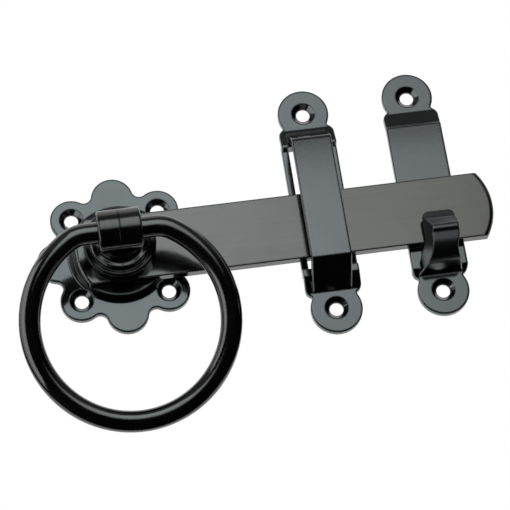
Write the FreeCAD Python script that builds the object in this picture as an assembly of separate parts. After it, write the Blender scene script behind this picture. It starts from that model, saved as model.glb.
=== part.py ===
import FreeCAD, Part
import math
import os

# Ring gate latch, in millimetres.
# X runs along the bar towards the catch, Z is up, and the front faces -Y.
# The plane Y = 0 is the face of the gate and post, and the origin is on the spindle's axis.
# A depth is a distance in front of that plane.

# Screw holes in all plates
screw_hole_diameter = 6.0
countersink_diameter = 10.4
countersink_angle = 90.0

# Spindle behind the bar
tang_side = 10.0
tang_clearance = 0.1
journal_radius = 6.0
journal_clearance = 0.08
tail_radius = 4.0
tail_head_radius = 5.4
tail_head_height = 1.0
tail_recess = 0.3
washer_radius = 9.0
washer_thickness = 1.5
washer_play = 0.2

# Rose
rose_thickness = 3.0
rose_hole_circle_radius = 26.75
rose_lobe_count = 8
rose_lobe_radius = 9.2
rose_valley_radius = 3.3
rose_edge_round = 0.7
pedestal_radius = 20.3
pedestal_flare = 2.0
pedestal_top_round = 1.4
pedestal_foot_round = 1.0

# Latch bar
bar_width = 30.0
bar_thickness = 4.8
bar_tail_length = 19.5
bar_nose_length = 164.0
bar_end_radius = 26.5
bar_end_round = 1.8
bar_edge_round = 0.5

# Ring boss in front of the bar
collar_radius = 15.7
collar_height = 6.8
collar_round = 1.2
bead_radius = 12.9
bead_height = 2.0
bead_root_round = 0.5
bead_round = 1.3
neck_radius = 8.6
neck_sweep_radius = 3.0
eye_stand_off = 19.7
eye_radius = 9.1
eye_length = 18.8
eye_end_round = 1.2
eye_clearance = 0.35
parting_ridge_height = 0.12
parting_ridge_width = 0.5

# Ring handle
rod_radius = 4.65
ring_radius = 42.6
ring_flat_top_fall = 4.1
ring_corner_radius = 14.0
ring_rest_gap = 0.4

# Eared strip, the blank that the keep and the catch share
strip_thickness = 3.0
strip_width = 24.6
strip_hole_spacing = 93.0
strip_edge_round = 0.7
shoulder_radius = 4.0
shoulder_rise = 1.6
ear_radius = 11.3
ear_notch_radius = 1.0
joggle_foot = 38.8
joggle_head = 31.2
joggle_bend_radius = 1.5
joggle_lip = 0.6
joggle_lip_round = 0.8
joggle_lip_root = 1.0
bar_back_gap = 0.3

# Keep
keep_x = 89.4
keep_z = 9.8
strap_width = 17.4
strap_shift = 0.5
strap_slot = 0.1
strap_front_length = 56.6
strap_fall = 0.7
strap_slant_angle = 60.0
strap_root_depth = 3.2
shoulder_land = 1.2
lower_shoulder_land = 3.0
shoulder_step = 0.9
shoulder_bend_radius = 0.4
strap_outer_bend = 2.0
strap_inner_bend = 0.5
strap_edge_round = 0.7
bar_strap_gap = 6.2

# Catch
catch_from_bar_end = 27.2
catch_z = 12.0
hook_gap = 3.6
hook_reach = 7.6
hook_rise = 12.3
hook_tip_thickness = 1.6
hook_thumb_height = 3.6
hook_thumb_reach = 2.4
hook_thumb_radius = 3.0
hook_nose_foot = 1.6
hook_nose_land = 1.6
hook_nose_fall = 0.2
hook_nose_round = 2.8
hook_lip = 1.1
hook_lip_edge_round = 0.5
hook_lip_round = 0.8
hook_stem_slope = 11.0
hook_stem_land = 2.2
hook_stem_round = 10.0
hook_root_fall = 12.3
hook_root_slope = 8.4
hook_right_reach = 8.4
hook_width = 11.3
hook_left_draft = 20.0
hook_shoulder_round = 2.8
hook_seat_radius = 0.8
hook_tip_round = 0.6
hook_waist_inset = 2.3
hook_waist_height = 4.8
hook_waist_round = 6.0
hook_flare = 4.4
hook_edge_round = 0.5
catch_lower_head = 36.6

# Limits used to pick edges: how far a face looks forward, how far a wall leans,
# and the bluntest corner in degrees
forward_share = 0.4
upright_share = 0.38
least_corner_angle = 20.0
tolerance = 0.001

# Depths and places that follow from the sizes above
pedestal_height = tail_recess + tail_head_height + washer_thickness + washer_play
pedestal_front = rose_thickness + pedestal_height
bar_back = pedestal_front
bar_front = bar_back + bar_thickness
collar_front = bar_front + collar_height
bead_front = collar_front + bead_height
eye_depth = bar_front + eye_stand_off
strip_rise = bar_back - bar_back_gap - strip_thickness
strip_front = strip_rise + strip_thickness
strap_front = bar_front + bar_strap_gap + strip_thickness
hook_back = bar_front + hook_gap
hook_front = hook_back + hook_reach
seat_z = -bar_width / 2
ring_drop = ring_radius - ring_flat_top_fall
catch_x = bar_nose_length - catch_from_bar_end


def at(x, depth, z):
    return FreeCAD.Vector(x, -depth, z)


def along_depth(length):
    return FreeCAD.Vector(0, -length, 0)


def front_view(depth):
    """Places a point (x, z) of a front view at a depth."""
    return lambda x, z: at(x, depth, z)


def side_view(x):
    """Places a point (depth, z) of a side view at a distance along the bar."""
    return lambda depth, z: at(x, depth, z)


def plan_view(z):
    """Places a point (x, depth) of a view from above at a height."""
    return lambda x, depth: at(x, depth, z)


def half_section(radius, depth):
    """Places a point of a profile that is turned about the spindle's axis."""
    return at(radius, depth, 0)


def rounded_wire(corners, place):
    """Closed outline through (u, v, radius) corners, each rounded to its radius."""
    runs = []
    count = len(corners)
    for i in range(count):
        u, v, radius = corners[i]
        corner = place(u, v)
        if radius == 0:
            runs.append((corner, None, corner))
            continue
        before = (place(*corners[i - 1][:2]) - corner).normalize()
        after = (place(*corners[(i + 1) % count][:2]) - corner).normalize()
        middle = (before + after).normalize()
        half_angle = before.getAngle(after) / 2
        reach = radius / math.tan(half_angle)
        bulge = radius / math.sin(half_angle) - radius
        runs.append((corner + before * reach, corner + middle * bulge, corner + after * reach))
    edges = []
    for i in range(count):
        start, middle, end = runs[i]
        following = runs[(i + 1) % count][0]
        if middle is not None:
            edges.append(Part.Arc(start, middle, end).toShape())
        if end.distanceToPoint(following) > tolerance:
            edges.append(Part.makeLine(end, following))
    return Part.Wire(edges)


def front_slab(corners, back, front):
    """Front-view outline pulled from one depth to another."""
    outline = rounded_wire(corners, front_view(back))
    return Part.Face(outline).extrude(along_depth(front - back))


def side_slab(corners, middle_x, width):
    """Side-view outline pulled along the bar, centred on middle_x."""
    outline = rounded_wire(corners, side_view(middle_x - width / 2))
    return Part.Face(outline).extrude(FreeCAD.Vector(width, 0, 0))


def turned(corners):
    """Solid turned about the spindle's axis from (radius, depth, rounding) corners."""
    profile = Part.Face(rounded_wire(corners, half_section))
    return profile.revolve(FreeCAD.Vector(), along_depth(1), 360)


def disc(radius, back, front, x=0.0, z=0.0):
    return Part.makeCylinder(radius, front - back, at(x, back, z), along_depth(1))


def cross_cylinder(radius, length):
    """Cylinder along X about the eye's axis, centred on the spindle."""
    return Part.makeCylinder(radius, length, at(-length / 2, eye_depth, 0), FreeCAD.Vector(1, 0, 0))


def box(x_low, x_high, back, front, z_low, z_high):
    return Part.makeBox(x_high - x_low, front - back, z_high - z_low, at(x_low, front, z_low))


def countersunk_hole(x, z, front):
    """Tool for one screw hole in a plate from the mounting plane to its front."""
    hole_radius = screw_hole_diameter / 2
    sink_radius = countersink_diameter / 2
    sink_depth = (sink_radius - hole_radius) / math.tan(math.radians(countersink_angle / 2))
    hole = disc(hole_radius, -front, 2 * front, x, z)
    cone = Part.makeCone(hole_radius, sink_radius, sink_depth, at(x, front - sink_depth, z), along_depth(1))
    return hole.fuse([cone, disc(sink_radius, front, 2 * front, x, z)])


def front_rim(shape):
    """Edges where a face that looks forward meets an upright side wall."""
    rim = []
    for edge in shape.Edges:
        faces = shape.ancestorsOfType(edge, Part.Face)
        if len(faces) != 2:
            continue
        middle = edge.valueAt((edge.FirstParameter + edge.LastParameter) / 2)
        facing = sorted(face.normalAt(*face.Surface.parameter(middle)).y for face in faces)
        if facing[0] < -forward_share and abs(facing[1]) < upright_share:
            rim.append(edge)
    return rim


def upright_corners(shape):
    """Edges along the depth where two side walls meet at an angle."""
    corners = []
    for edge in shape.Edges:
        size = edge.BoundBox
        if max(size.XLength, size.ZLength) > tolerance:
            continue
        middle = edge.valueAt((edge.FirstParameter + edge.LastParameter) / 2)
        walls = shape.ancestorsOfType(edge, Part.Face)
        first, second = [wall.normalAt(*wall.Surface.parameter(middle)) for wall in walls]
        if first.getAngle(second) > math.radians(least_corner_angle):
            corners.append(edge)
    return corners


def make_rose_plate():
    """Pressed rose: a lobed plate with a hollow round pedestal that the spindle turns in."""
    step = 2 * math.pi / rose_lobe_count
    lobe_to_valley = rose_lobe_radius + rose_valley_radius
    half_chord = rose_hole_circle_radius * math.sin(step / 2)
    valley_circle_radius = (rose_hole_circle_radius * math.cos(step / 2)
                            + math.sqrt(lobe_to_valley ** 2 - half_chord ** 2))

    def polar(radius, angle):
        return FreeCAD.Vector(radius * math.cos(angle), 0, radius * math.sin(angle))

    def blend(lobe_angle, valley_angle):
        lobe = polar(rose_hole_circle_radius, lobe_angle)
        valley = polar(valley_circle_radius, valley_angle)
        return lobe + (valley - lobe) * (rose_lobe_radius / lobe_to_valley)

    edges = []
    for i in range(rose_lobe_count):
        angle = i * step
        gap = angle + step / 2
        start = blend(angle, angle - step / 2)
        end = blend(angle, gap)
        tip = polar(rose_hole_circle_radius + rose_lobe_radius, angle)
        dip = polar(valley_circle_radius - rose_valley_radius, gap)
        edges.append(Part.Arc(start, tip, end).toShape())
        edges.append(Part.Arc(end, dip, blend(angle + step, gap)).toShape())
    plate = Part.Face(Part.Wire(edges)).extrude(along_depth(rose_thickness))
    plate = plate.makeFillet(rose_edge_round, front_rim(plate))

    foot = pedestal_radius + pedestal_flare
    skirt = foot + pedestal_foot_round
    pedestal = turned([
        (0, 0, 0),
        (skirt, 0, 0),
        (skirt, rose_thickness, 0),
        (foot, rose_thickness, pedestal_foot_round),
        (pedestal_radius, pedestal_front, pedestal_top_round),
        (0, pedestal_front, 0),
    ])
    hollow = disc(pedestal_radius - rose_thickness, -pedestal_height, pedestal_height)
    bore = disc(journal_radius + journal_clearance, 0, 2 * pedestal_front)
    rose = plate.fuse(pedestal).cut([hollow, bore])
    for i in range(1, rose_lobe_count, 2):
        place = polar(rose_hole_circle_radius, i * step)
        rose = rose.cut(countersunk_hole(place.x, place.z, rose_thickness))
    return rose.removeSplitter()


def make_latch_bar():
    """Flat bar with curved ends and a square socket for the tang."""
    half = bar_width / 2
    bar = box(-bar_tail_length, bar_nose_length, bar_back, bar_front, -half, half)
    for end_x, inward in ((-bar_tail_length, 1), (bar_nose_length, -1)):
        centre_x = end_x + inward * bar_end_radius
        end = disc(bar_end_radius, bar_back, bar_front, centre_x)
        end = end.makeFillet(bar_end_round, front_rim(end))
        other_x = end_x + inward * (bar_tail_length + bar_nose_length)
        rest = box(min(centre_x, other_x), max(centre_x, other_x), bar_back, bar_front, -half, half)
        bar = bar.common(end.fuse(rest))
    long_edges = []
    for edge in bar.Edges:
        size = edge.BoundBox
        straight = max(size.YLength, size.ZLength) < tolerance
        at_side = abs(abs(size.Center.z) - half) < tolerance
        at_front = abs(size.Center.y + bar_front) < tolerance
        if straight and at_side and at_front:
            long_edges.append(edge)
    bar = bar.makeFillet(bar_edge_round, long_edges)
    socket = tang_side / 2 + tang_clearance
    return bar.cut(box(-socket, socket, 0, 2 * bar_front, -socket, socket)).removeSplitter()


def make_ring_boss():
    """One casting: collar, bead, neck and cross eye in front, and the stepped spindle behind."""
    body = turned([
        (0, bar_front, 0),
        (collar_radius, bar_front, 0),
        (collar_radius, collar_front, collar_round),
        (bead_radius, collar_front, bead_root_round),
        (bead_radius, bead_front, bead_round),
        (neck_radius, bead_front, neck_sweep_radius),
        (neck_radius, eye_depth, 0),
        (0, eye_depth, 0),
    ])
    eye = cross_cylinder(eye_radius, eye_length)
    eye = eye.makeFillet(eye_end_round, [edge for edge in eye.Edges if edge.BoundBox.XLength < tolerance])
    ridge = cross_cylinder(eye_radius + parting_ridge_height, parting_ridge_width)
    bore = cross_cylinder(rod_radius + eye_clearance, 2 * eye_length)
    half = tang_side / 2
    shoulder = pedestal_height - washer_play
    head_front = shoulder - washer_thickness
    tang = box(-half, half, bar_back, bar_front, -half, half)
    journal = disc(journal_radius, shoulder, bar_back)
    tail = disc(tail_radius, head_front, shoulder)
    head = disc(tail_head_radius, tail_recess, head_front)
    return body.fuse([eye, ridge, tang, journal, tail, head]).cut(bore).removeSplitter()


def make_spindle_washer():
    """Washer between the pedestal's inner face and the riveted tail."""
    front = pedestal_height - washer_play
    washer = disc(washer_radius, front - washer_thickness, front)
    return washer.cut(disc(tail_radius, 0, front))


def make_ring_handle():
    """Round rod bent to a ring with a straight top in the eye, leaning on the mounting plane."""
    inner = ring_radius - ring_corner_radius
    half_top = math.sqrt(inner ** 2 - (ring_drop - ring_corner_radius) ** 2)
    turn = math.atan2(ring_drop - ring_corner_radius, half_top)

    def on_ring(x, z):
        return at(x, eye_depth, z)

    def on_corner(side, angle):
        x = half_top + ring_corner_radius * math.cos(angle)
        return on_ring(side * x, ring_corner_radius * (math.sin(angle) - 1))

    middle = (math.pi / 2 + turn) / 2
    top = Part.makeLine(on_ring(-half_top, 0), on_ring(half_top, 0))
    right = Part.Arc(on_ring(half_top, 0), on_corner(1, middle), on_corner(1, turn)).toShape()
    bow = Part.Arc(on_corner(1, turn), on_ring(0, -ring_drop - ring_radius), on_corner(-1, turn)).toShape()
    left = Part.Arc(on_corner(-1, turn), on_corner(-1, middle), on_ring(-half_top, 0)).toShape()
    section = Part.Wire(Part.makeCircle(rod_radius, on_ring(-half_top, 0), FreeCAD.Vector(1, 0, 0)))
    ring = Part.Wire([top, right, bow, left]).makePipeShell([section], True, False)
    lean = math.asin((eye_depth - rod_radius - ring_rest_gap) / (ring_drop + ring_radius))
    ring.rotate(on_ring(0, 0), FreeCAD.Vector(1, 0, 0), math.degrees(lean))
    return ring


def joggle_shift(head):
    """How far the back of a joggle's bends lies behind the front ones, for a joggle that ends at head."""
    return strip_thickness * math.tan(math.atan2(strip_rise, joggle_foot - head) / 2)


def ear_profile():
    """Side view of an ear's end, from its back round the tip to its front."""
    tip = strip_hole_spacing / 2 + 2 * ear_radius
    return [(0, tip, 0), (strip_thickness, tip, 0), (strip_thickness, joggle_foot, joggle_bend_radius)]


def raised_end(head):
    """Side view of one end of a strip whose middle stands forward of its ears."""
    shift = joggle_shift(head)
    outside = joggle_bend_radius + strip_thickness
    return [
        (strip_rise, head - shift, joggle_bend_radius),
        (0, joggle_foot - shift, outside),
        *ear_profile(),
        (strip_front - joggle_lip, head + joggle_lip, joggle_lip_root),
        (strip_front, head, joggle_lip_round),
    ]


def shouldered_end(land):
    """Side view of one end of a strip with a raised shoulder between its ear and its flat rails."""
    crest = joggle_head - land
    rail = crest - shoulder_step
    foot = joggle_foot - joggle_shift(joggle_head)
    wall = rail + strip_thickness
    pocket = strip_rise * (foot - wall) / (joggle_foot - joggle_head)
    return [
        (0, wall, 0),
        (pocket, wall, shoulder_bend_radius),
        (0, foot, joggle_bend_radius),
        *ear_profile(),
        (strip_front, joggle_head, joggle_bend_radius),
        (strip_front, crest, shoulder_bend_radius),
        (strip_thickness, rail, shoulder_bend_radius),
    ]


def make_strip(middle_x, middle_z, upper, lower):
    """Strip with two round ears, from the side views of its upper and lower ends."""
    half_spacing = strip_hole_spacing / 2
    flipped = [(depth, -z, radius) for depth, z, radius in reversed(lower)]
    profile = [(depth, middle_z + z, radius) for depth, z, radius in upper + flipped]
    sheet = side_slab(profile, middle_x, 2 * strip_width)

    half = strip_width / 2
    shoulder = joggle_foot + shoulder_rise
    corners = ((-half, -shoulder), (half, -shoulder), (half, shoulder), (-half, shoulder))
    body = [(middle_x + x, middle_z + z, shoulder_radius) for x, z in corners]
    outline = front_slab(body, 0, strip_front)
    for side in (-1, 1):
        outline = outline.fuse(disc(ear_radius, 0, strip_front, middle_x, middle_z + side * half_spacing))
    outline = outline.removeSplitter()
    outline = outline.makeFillet(ear_notch_radius, upright_corners(outline))

    strip = sheet.common(outline).removeSplitter()
    strip = strip.makeFillet(strip_edge_round, front_rim(strip))
    for side in (-1, 1):
        strip = strip.cut(countersunk_hole(middle_x, middle_z + side * half_spacing, strip_thickness))
    return strip


def make_keep_bridge():
    """Eared strip with a strap cut free at its sides and pressed forward to bridge the bar."""
    slant = math.radians(strap_slant_angle)
    leg = strip_thickness / math.sin(slant)
    strap_back = strap_front - strip_thickness

    strap_z = keep_z - strap_fall

    def outer(depth):
        return strap_front_length / 2 + (strap_front - depth) / math.tan(slant)

    upper = [
        (strap_back, outer(strap_back) - leg, strap_inner_bend),
        (strap_root_depth, outer(strap_root_depth) - leg, 0),
        (strap_root_depth, outer(strap_root_depth), 0),
        (strap_front, outer(strap_front), strap_outer_bend),
    ]
    lower = [(depth, -z, radius) for depth, z, radius in reversed(upper)]
    profile = [(depth, strap_z + z, radius) for depth, z, radius in upper + lower]
    strap_x = keep_x - strap_shift
    strap = side_slab(profile, strap_x, strap_width)
    strap = strap.makeFillet(strap_edge_round, front_rim(strap))

    half_window = strap_width / 2 + strap_slot
    top = keep_z + joggle_head - shoulder_land
    bottom = keep_z - joggle_head + lower_shoulder_land
    window = box(strap_x - half_window, strap_x + half_window, -strip_front, 2 * strip_front, bottom, top)
    strip = make_strip(keep_x, keep_z, shouldered_end(shoulder_land), shouldered_end(lower_shoulder_land))
    return strip.cut(window).fuse(strap).removeSplitter()


def make_catch_hook():
    """Eared strip with a drafted hook whose seat holds the bar's lower edge."""
    tip_z = seat_z + hook_rise
    nose_z = seat_z + hook_nose_foot
    lip_z = nose_z - hook_lip
    stem_front = hook_front - hook_lip
    root_z = seat_z - hook_root_fall
    root_depth = strip_thickness / 2
    lean = math.tan(math.radians(hook_stem_slope))
    rise = math.tan(math.radians(hook_root_slope))
    corner_depth = (stem_front - lean * (lip_z - root_z) - lean * rise * root_depth) / (1 - lean * rise)
    profile = [
        (root_depth, seat_z, 0),
        (hook_back, seat_z, hook_seat_radius),
        (hook_back, tip_z, hook_tip_round),
        (hook_back + hook_tip_thickness, tip_z, 0),
        (hook_back + hook_thumb_reach, tip_z - hook_thumb_height, hook_thumb_radius),
        (hook_front, nose_z + hook_nose_land, hook_nose_round),
        (hook_front - hook_nose_fall, nose_z, hook_lip_edge_round),
        (stem_front, lip_z, hook_lip_round),
        (corner_depth, root_z + rise * (corner_depth - root_depth), hook_stem_round),
        (root_depth, root_z, 0),
    ]
    right = catch_x + hook_right_reach
    left = right - hook_width
    spread = math.tan(math.radians(hook_left_draft))
    back_left = left - hook_reach * spread
    plan = rounded_wire([
        (left - hook_front * spread, 0, 0),
        (right + hook_width, 0, 0),
        (right + hook_width, hook_front, 0),
        (left, hook_front, 0),
    ], plan_view(root_z))
    waist = right - hook_waist_inset
    outline = front_slab([
        (back_left, tip_z, hook_shoulder_round),
        (back_left, seat_z, 0),
        (left - hook_front * spread, root_z, 0),
        (waist + hook_flare, root_z, 0),
        (waist, root_z + hook_waist_height, hook_waist_round),
        (right, lip_z - hook_stem_land, hook_waist_round),
        (right, tip_z, hook_shoulder_round),
    ], 0, hook_front)
    drafted = Part.Face(plan).extrude(FreeCAD.Vector(0, 0, tip_z - root_z))
    hook = side_slab(profile, right, 4 * hook_width).common(drafted).common(outline).removeSplitter()
    hook = hook.makeFillet(hook_edge_round, front_rim(hook))
    strip = make_strip(catch_x, catch_z, raised_end(joggle_head), raised_end(catch_lower_head))
    return strip.fuse(hook).removeSplitter()


pieces = {
    "rose_plate": make_rose_plate(),
    "latch_bar": make_latch_bar(),
    "ring_boss": make_ring_boss(),
    "spindle_washer": make_spindle_washer(),
    "ring_handle": make_ring_handle(),
    "keep_bridge": make_keep_bridge(),
    "catch_hook": make_catch_hook(),
}

os.makedirs("parts", exist_ok=True)
for name, shape in pieces.items():
    shape.Solids[0].exportStep("parts/" + name + ".step")
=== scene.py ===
import math
from collections import namedtuple

import bpy
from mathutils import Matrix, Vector

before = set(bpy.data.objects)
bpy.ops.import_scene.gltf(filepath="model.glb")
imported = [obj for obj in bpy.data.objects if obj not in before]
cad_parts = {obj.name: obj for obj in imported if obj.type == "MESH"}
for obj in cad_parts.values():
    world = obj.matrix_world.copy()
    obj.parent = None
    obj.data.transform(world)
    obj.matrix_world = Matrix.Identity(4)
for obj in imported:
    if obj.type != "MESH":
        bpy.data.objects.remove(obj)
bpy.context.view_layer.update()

scene = bpy.context.scene
scene.view_settings.view_transform = "Standard"


# Lengths are in metres. The front is -Y, so a depth in front of the gate is -y.


# Node helpers

def new_material(name):
    material = bpy.data.materials.new(name)
    material.use_nodes = True
    material.node_tree.nodes.clear()
    return material, material.node_tree


def plug(tree, value, socket):
    """Links a socket, or sets a plain value."""
    if isinstance(value, bpy.types.NodeSocket):
        tree.links.new(value, socket)
    else:
        socket.default_value = value


def add(tree, kind, settings=None, **inputs):
    """Adds a node, sets its properties and plugs its inputs; an underscore stands for a space in a name."""
    node = tree.nodes.new(kind)
    for key, value in (settings or {}).items():
        setattr(node, key, value)
    for key, value in inputs.items():
        plug(tree, value, node.inputs[key.replace("_", " ")])
    return node


def math_node(tree, operation, first, second=0.0):
    node = add(tree, "ShaderNodeMath", {"operation": operation})
    plug(tree, first, node.inputs[0])
    plug(tree, second, node.inputs[1])
    return node.outputs[0]


def vector_node(tree, operation, first, second=(0.0, 0.0, 0.0)):
    node = add(tree, "ShaderNodeVectorMath", {"operation": operation})
    plug(tree, first, node.inputs[0])
    plug(tree, second, node.inputs["Scale" if operation == "SCALE" else 1])
    return node.outputs[0]


def spread(tree, value, low, high, from_low=0.0, from_high=1.0):
    """Maps a value from one range to another, and holds it at the ends."""
    node = add(tree, "ShaderNodeMapRange", Value=value, From_Min=from_low, From_Max=from_high,
               To_Min=low, To_Max=high)
    return node.outputs["Result"]


def noise(tree, vector, scale, detail, roughness):
    node = add(tree, "ShaderNodeTexNoise", Vector=vector, Scale=scale, Detail=detail, Roughness=roughness)
    return node.outputs["Fac"]


def mix_shaders(tree, factor, first, second):
    node = tree.nodes.new("ShaderNodeMixShader")
    for value, socket in zip((factor, first, second), node.inputs):
        plug(tree, value, socket)
    return node.outputs[0]


def one_sided(tree, front):
    """Shows a shader on the front and nothing from behind."""
    clear = add(tree, "ShaderNodeBsdfTransparent").outputs[0]
    behind = add(tree, "ShaderNodeNewGeometry").outputs["Backfacing"]
    return mix_shaders(tree, behind, front, clear)


def show(tree, shader, kind="ShaderNodeOutputMaterial"):
    """Ends a tree with its output node."""
    output = tree.nodes.new(kind)
    tree.links.new(shader, output.inputs["Surface"])


# Gloss black coat

INK = (0.0016, 0.0016, 0.0014)
COOL = (0.89, 0.97, 1.0)
NEUTRAL = (0.98, 1.0, 0.98)
COAT_IOR = 1.8
EDGE_RADIUS = 0.0010
EDGE_SAMPLES = 6

# Scales of the marks, and the ranges of the noises that are put to use
PEEL_SCALE = 420.0
CLOUD_SCALE = 55.0
PIT_SCALE = 260.0
NOISE_RANGE = (0.3, 0.7)
RUB_LINE_RANGE = (0.62, 0.74)
PIT_RANGE = (0.02, 0.10)

# Strengths of the marks
PIT_DEPTH = 0.12
BUMP_STRENGTH = 0.5
BUMP_HEIGHT = 0.0001
RUB_DULLING = 0.10
RUB_PALENESS = 0.8
SEAM_SHINE = 0.35
SEAM_CORE = 0.6

# Depth over which the coat changes, and how far a bowed face may lie behind its depth
PROUD_BLEND = 0.0005
BOW_NEAR = 0.0001
BOW_FAR = 0.0004

# Scales of the rub marks along X, Y and Z
ALONG_BAR = (25.0, 900.0, 900.0)
ALONG_STRIP = (900.0, 900.0, 30.0)
ALL_WAYS = (240.0, 240.0, 240.0)
AROUND_EYE = (900.0, 40.0, 40.0)

Proud = namedtuple("Proud", "depth shine roughness")
Bow = namedtuple("Bow", "depth low high slope")


def coat_normal(tree, along, height, bow):
    """Normal with softened edges, leaned back on a bowed face, and the coat's fine height on top."""
    normal = add(tree, "ShaderNodeBevel", {"samples": EDGE_SAMPLES}, Radius=EDGE_RADIUS).outputs["Normal"]
    if bow:
        on_face = spread(tree, along["Y"], 1.0, 0.0, BOW_NEAR - bow.depth, BOW_FAR - bow.depth)
        lean = spread(tree, along["Z"], 0.0, bow.slope, bow.low, bow.high)
        upward = add(tree, "ShaderNodeCombineXYZ", Z=math_node(tree, "MULTIPLY", lean, on_face)).outputs[0]
        normal = vector_node(tree, "NORMALIZE", vector_node(tree, "ADD", normal, upward))
    bump = add(tree, "ShaderNodeBump", Strength=BUMP_STRENGTH, Distance=BUMP_HEIGHT, Height=height,
               Normal=normal)
    return bump.outputs["Normal"]


def black_coat(name, sheen, shine, roughness, peel, rub_scale, grain, proud=(), bow=None, seam=0.0):
    """Dipped black coat: orange peel, fine dust pits, faint rub marks and uneven gloss.

    sheen is the tint of its reflections, peel the height of its orange peel, and grain the share by which
    rub marks change its shine. proud lists the shine and roughness of what stands in front of each depth.
    bow is a face that leans back towards its upper end.
    seam is the half width of a dull parting line at x = 0.
    """
    material, tree = new_material(name)
    place = add(tree, "ShaderNodeTexCoord").outputs["Object"]
    along = add(tree, "ShaderNodeSeparateXYZ", Vector=place).outputs
    rub_place = add(tree, "ShaderNodeMapping", Vector=place, Scale=rub_scale).outputs["Vector"]
    peel_noise = noise(tree, place, PEEL_SCALE, detail=2.0, roughness=0.45)
    cloud = noise(tree, place, CLOUD_SCALE, detail=4.0, roughness=0.55)
    rub = noise(tree, rub_place, 1.0, detail=5.0, roughness=0.7)
    rub_lines = spread(tree, rub, 0.0, 1.0, *RUB_LINE_RANGE)
    pits = add(tree, "ShaderNodeTexVoronoi", Vector=place, Scale=PIT_SCALE).outputs["Distance"]
    pit_spots = spread(tree, pits, 1.0, 0.0, *PIT_RANGE)

    gloss = math_node(tree, "ADD", spread(tree, cloud, roughness * 0.75, roughness * 1.35, *NOISE_RANGE),
                      math_node(tree, "MULTIPLY", rub_lines, RUB_DULLING))
    mirror = math_node(tree, "MULTIPLY", spread(tree, rub, 1.0 - grain, 1.0 + grain, *NOISE_RANGE),
                       spread(tree, cloud, 0.95, 1.05, *NOISE_RANGE))
    level = shine
    for step in proud:
        in_front = spread(tree, along["Y"], 1.0, 0.0, -step.depth - PROUD_BLEND, -step.depth)
        more_shine = math_node(tree, "MULTIPLY", in_front, step.shine - shine)
        more_roughness = math_node(tree, "MULTIPLY", in_front, step.roughness - roughness)
        level = math_node(tree, "ADD", level, more_shine)
        gloss = math_node(tree, "ADD", gloss, more_roughness)
        shine, roughness = step.shine, step.roughness
    mirror = math_node(tree, "MULTIPLY", mirror, level)
    if seam:
        from_seam = math_node(tree, "ABSOLUTE", along["X"])
        seam_shine = spread(tree, from_seam, SEAM_SHINE, 1.0, seam * SEAM_CORE, seam)
        mirror = math_node(tree, "MULTIPLY", mirror, seam_shine)

    shade = math_node(tree, "ADD", spread(tree, cloud, 0.75, 1.3, *NOISE_RANGE),
                      math_node(tree, "MULTIPLY", rub_lines, RUB_PALENESS))
    height = math_node(tree, "ADD", math_node(tree, "MULTIPLY", peel_noise, peel),
                       math_node(tree, "MULTIPLY", pit_spots, -PIT_DEPTH))
    shader = add(tree, "ShaderNodeBsdfPrincipled", Base_Color=vector_node(tree, "SCALE", INK, shade),
                 Roughness=gloss, Normal=coat_normal(tree, along, height, bow), IOR=COAT_IOR,
                 Specular_IOR_Level=mirror, Specular_Tint=(*sheen, 1.0))
    show(tree, shader.outputs[0])
    return material


coats = {
    "rose_plate": black_coat("coat_rose", COOL, shine=0.52, roughness=0.11, peel=0.35, rub_scale=ALL_WAYS,
                             grain=0.015, proud=[Proud(depth=0.0035, shine=0.20, roughness=0.13)]),
    "keep_bridge": black_coat("coat_keep", COOL, shine=0.53, roughness=0.11, peel=0.3, rub_scale=ALONG_STRIP,
                              grain=0.02, bow=Bow(depth=0.020, low=-0.081, high=0.036, slope=0.1164)),
    "catch_hook": black_coat("coat_catch", COOL, shine=0.53, roughness=0.11, peel=0.3, rub_scale=ALONG_STRIP,
                             grain=0.02, proud=[Proud(depth=0.008, shine=0.46, roughness=0.30)],
                             bow=Bow(depth=0.0055, low=-0.011, high=0.039, slope=0.0916)),
    "latch_bar": black_coat("coat_bar", NEUTRAL, shine=0.50, roughness=0.14, peel=0.3, rub_scale=ALONG_BAR,
                            grain=0.05),
    # The boss's shine is set band by band in depth as painted highlight and painted shade: raised in front of
    # 18 mm to paint a bright arc on the bead, and lowered in front of 19.8 mm to paint dark shade over the
    # neck under the eye.
    "ring_boss": black_coat("coat_boss", NEUTRAL, shine=0.14, roughness=0.14, peel=0.6, rub_scale=AROUND_EYE,
                            grain=0.14, seam=0.0004, proud=[Proud(depth=0.0180, shine=0.55, roughness=0.16),
                                                            Proud(depth=0.0198, shine=0.10, roughness=0.14),
                                                            Proud(depth=0.0215, shine=0.33, roughness=0.13)]),
    "spindle_washer": black_coat("coat_washer", NEUTRAL, shine=0.40, roughness=0.20, peel=0.8,
                                 rub_scale=ALL_WAYS, grain=0.05),
    "ring_handle": black_coat("coat_ring", NEUTRAL, shine=0.45, roughness=0.12, peel=0.4, rub_scale=ALL_WAYS,
                              grain=0.05),
}
for node, material in coats.items():
    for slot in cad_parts[node].material_slots:
        slot.material = material


# Stage pieces

def stage_mesh(name, corners, faces, material):
    mesh = bpy.data.meshes.new(name)
    mesh.from_pydata(corners, [], faces)
    mesh.materials.append(material)
    piece = bpy.data.objects.new(name, mesh)
    scene.collection.objects.link(piece)
    return piece


def only_in_gloss(piece):
    """Leaves a stage piece to the reflections: the camera doesn't see it and it casts no shadow."""
    piece.visible_camera = False
    piece.visible_diffuse = False
    piece.visible_shadow = False


# White table that the latch lies on

BACKDROP_Y = 0.001
BACKDROP_HALF = 1.5
BACKDROP_PAINT = (0.8, 0.8, 0.8, 1)


def white_to_view(tree):
    """1 for the rays that see the background: camera, glossy and transmission rays."""
    path = add(tree, "ShaderNodeLightPath").outputs
    seen = math_node(tree, "MAXIMUM", path["Is Camera Ray"], path["Is Glossy Ray"])
    return math_node(tree, "MAXIMUM", seen, path["Is Transmission Ray"])


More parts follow.
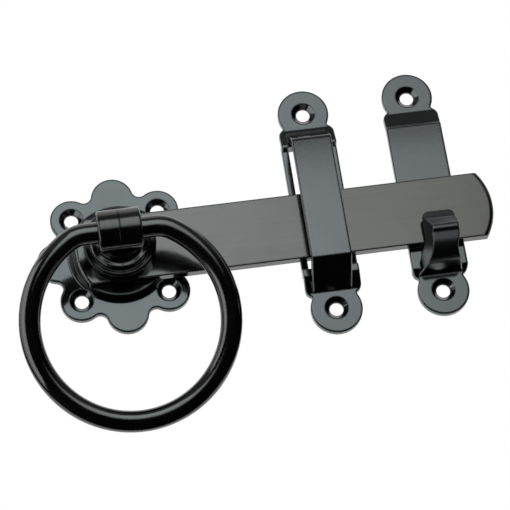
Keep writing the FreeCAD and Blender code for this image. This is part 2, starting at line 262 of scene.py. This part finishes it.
def backdrop_material():
    material, tree = new_material("backdrop_white")
    white = add(tree, "ShaderNodeEmission", Color=(1, 1, 1, 1), Strength=1.0).outputs[0]
    matt = add(tree, "ShaderNodeBsdfDiffuse", Color=BACKDROP_PAINT).outputs[0]
    show(tree, one_sided(tree, mix_shaders(tree, white_to_view(tree), matt, white)))
    return material


square = [(-1, -1), (1, -1), (1, 1), (-1, 1)]
stage_mesh("backdrop", [(x * BACKDROP_HALF, BACKDROP_Y, z * BACKDROP_HALF) for x, z in square],
           [(0, 1, 2, 3)], backdrop_material())


# Dark studio in front of the table, a half dome

STUDIO_RADIUS = 1.45
STUDIO_RINGS = 24
STUDIO_STEPS = 48


def studio_material():
    """Dark room: black below and beside, dim above and paler overhead."""
    material, tree = new_material("studio_dark")
    place = add(tree, "ShaderNodeTexCoord").outputs["Object"]
    height = add(tree, "ShaderNodeSeparateXYZ", Vector=place).outputs["Z"]
    dim = spread(tree, height, 0.004, 0.17, 0.25 * STUDIO_RADIUS, 0.50 * STUDIO_RADIUS)
    pale = spread(tree, height, 0.0, 0.8, 0.92 * STUDIO_RADIUS, 1.0 * STUDIO_RADIUS)
    level = math_node(tree, "ADD", dim, pale)
    show(tree, add(tree, "ShaderNodeEmission", Color=(1, 1, 1, 1), Strength=level).outputs[0])
    return material


def studio_dome():
    corners = [(0.0, -STUDIO_RADIUS, 0.0)]
    faces = []
    for ring in range(1, STUDIO_RINGS + 1):
        tilt = math.pi / 2 * ring / STUDIO_RINGS
        for step in range(STUDIO_STEPS):
            turn = 2 * math.pi * step / STUDIO_STEPS
            corners.append((STUDIO_RADIUS * math.sin(tilt) * math.cos(turn), -STUDIO_RADIUS * math.cos(tilt),
                            STUDIO_RADIUS * math.sin(tilt) * math.sin(turn)))
    for step in range(STUDIO_STEPS):
        following = (step + 1) % STUDIO_STEPS
        faces.append((0, 1 + step, 1 + following))
        for ring in range(STUDIO_RINGS - 1):
            inner = 1 + ring * STUDIO_STEPS
            outer = inner + STUDIO_STEPS
            faces.append((inner + step, outer + step, outer + following, inner + following))
    return stage_mesh("studio", corners, faces, studio_material())


only_in_gloss(studio_dome())


# Black flags around the latch, which keep the white table out of the sides that face them

FLAG_PAINT = (0.003, 0.003, 0.003, 1)


def flag_material():
    material, tree = new_material("flag_black")
    matt = add(tree, "ShaderNodeBsdfDiffuse", Color=FLAG_PAINT).outputs[0]
    show(tree, one_sided(tree, matt))
    return material


black = flag_material()


def flag(name, corners):
    """Black flag that only reflections see, from the side on which its corners run anticlockwise."""
    only_in_gloss(stage_mesh(name, corners, [tuple(range(len(corners)))], black))


def level_flag(name, x_low, x_high, reach, z):
    """Level flag that reaches forward from the table, seen from above."""
    flag(name, [(x_low, -reach, z), (x_high, -reach, z), (x_high, 0.0, z), (x_low, 0.0, z)])


def upright_flag(name, x, reach, z_low, z_high):
    """Upright flag that reaches forward from the table, seen from the ring's side."""
    corners = [(x, 0.0, z_low), (x, -reach, z_low), (x, -reach, z_high), (x, 0.0, z_high)]
    flag(name, corners if x > 0 else corners[::-1])


level_flag("flag_below_rose", x_low=-0.07, x_high=0.06, reach=0.012, z=-0.041)
level_flag("flag_below_ring", x_low=-0.085, x_high=0.06, reach=1.2, z=-0.09)
level_flag("flag_below_plates", x_low=0.06, x_high=1.3, reach=1.2, z=-0.056)
upright_flag("flag_left_of_ring", x=-0.062, reach=0.012, z_low=-0.12, z_high=0.02)
upright_flag("flag_right_of_ring", x=0.062, reach=0.02, z_low=-0.12, z_high=-0.02)


# World: white to the rays that see it, a soft fill for the rest

WORLD_FILL = 0.35

world = bpy.data.worlds.new("studio_world")
scene.world = world
world.use_nodes = True
world.node_tree.nodes.clear()
world_level = spread(world.node_tree, white_to_view(world.node_tree), WORLD_FILL, 1.0)
sky = add(world.node_tree, "ShaderNodeBackground", Color=(1, 1, 1, 1), Strength=world_level)
show(world.node_tree, sky.outputs[0], "ShaderNodeOutputWorld")


# Soft boxes

WATTS_PER_GLOW = 4.0
COOL_LIGHT = (0.93, 1.0, 1.02)
WARM_LIGHT = (0.99, 1.0, 0.97)
SIDE_LIGHT = (0.98, 1.0, 1.0)

Fade = namedtuple("Fade", "axis low high at_low at_high")


def soft_box(name, place, aim, size, glow, ends, fades=()):
    """Rectangular soft box aimed at a point, with a colour at each end of its width.

    A fade runs along the box's own X or Y, as shares of its size, from one level to another.
    """
    data = bpy.data.lights.new(name, "AREA")
    data.shape = "RECTANGLE"
    data.size, data.size_y = size
    data.energy = WATTS_PER_GLOW * data.size * data.size_y * glow
    data.use_nodes = True
    tree = data.node_tree
    tree.nodes.clear()
    over_box = add(tree, "ShaderNodeNewGeometry").outputs["Parametric"]
    across = add(tree, "ShaderNodeSeparateXYZ", Vector=over_box).outputs
    level = 1.0
    for fade in fades:
        share = spread(tree, across[fade.axis], fade.at_low, fade.at_high, fade.low, fade.high)
        level = math_node(tree, "MULTIPLY", share, level)
    tone = add(tree, "ShaderNodeMix", {"data_type": "RGBA"}, Factor=across["X"])
    tone.inputs[6].default_value, tone.inputs[7].default_value = [(*end, 1.0) for end in ends]
    emission = add(tree, "ShaderNodeEmission", Color=tone.outputs[2], Strength=level)
    show(tree, emission.outputs[0], "ShaderNodeOutputLight")
    lamp = bpy.data.objects.new(name, data)
    scene.collection.objects.link(lamp)
    lamp.location = place
    lamp.rotation_mode = "QUATERNION"
    lamp.rotation_quaternion = (Vector(aim) - Vector(place)).to_track_quat("-Z", "Y")
    lamp.visible_camera = False


soft_box("front_box", place=(0.05, -0.36, 0.125), aim=(0.05, 0.0, 0.125), size=(0.40, 0.35), glow=1.9,
         ends=(COOL_LIGHT, WARM_LIGHT),
         fades=[Fade("Y", low=0.0, high=0.26, at_low=0.30, at_high=1.0),
                Fade("Y", low=0.846, high=1.0, at_low=1.0, at_high=0.45),
                Fade("X", low=0.505, high=0.918, at_low=1.0, at_high=0.68)])
soft_box("left_box", place=(-0.50, -0.21, -0.10), aim=(0.0, -0.21, -0.10), size=(0.36, 0.94), glow=1.6,
         ends=(SIDE_LIGHT, SIDE_LIGHT))


# Camera at the photograph's angle

SENSOR_MM = 36.0
LENS_MM = 178.18
CAMERA_PLACE = (-0.049059, -1.016498, -0.408931)
CAMERA_TURN_DEGREES = (111.7374, 8.6125, -2.6142)

camera_data = bpy.data.cameras.new("photo_camera")
camera_data.sensor_width = SENSOR_MM
camera_data.lens = LENS_MM
camera = bpy.data.objects.new("photo_camera", camera_data)
scene.collection.objects.link(camera)
camera.location = CAMERA_PLACE
camera.rotation_euler = [math.radians(angle) for angle in CAMERA_TURN_DEGREES]
scene.camera = camera
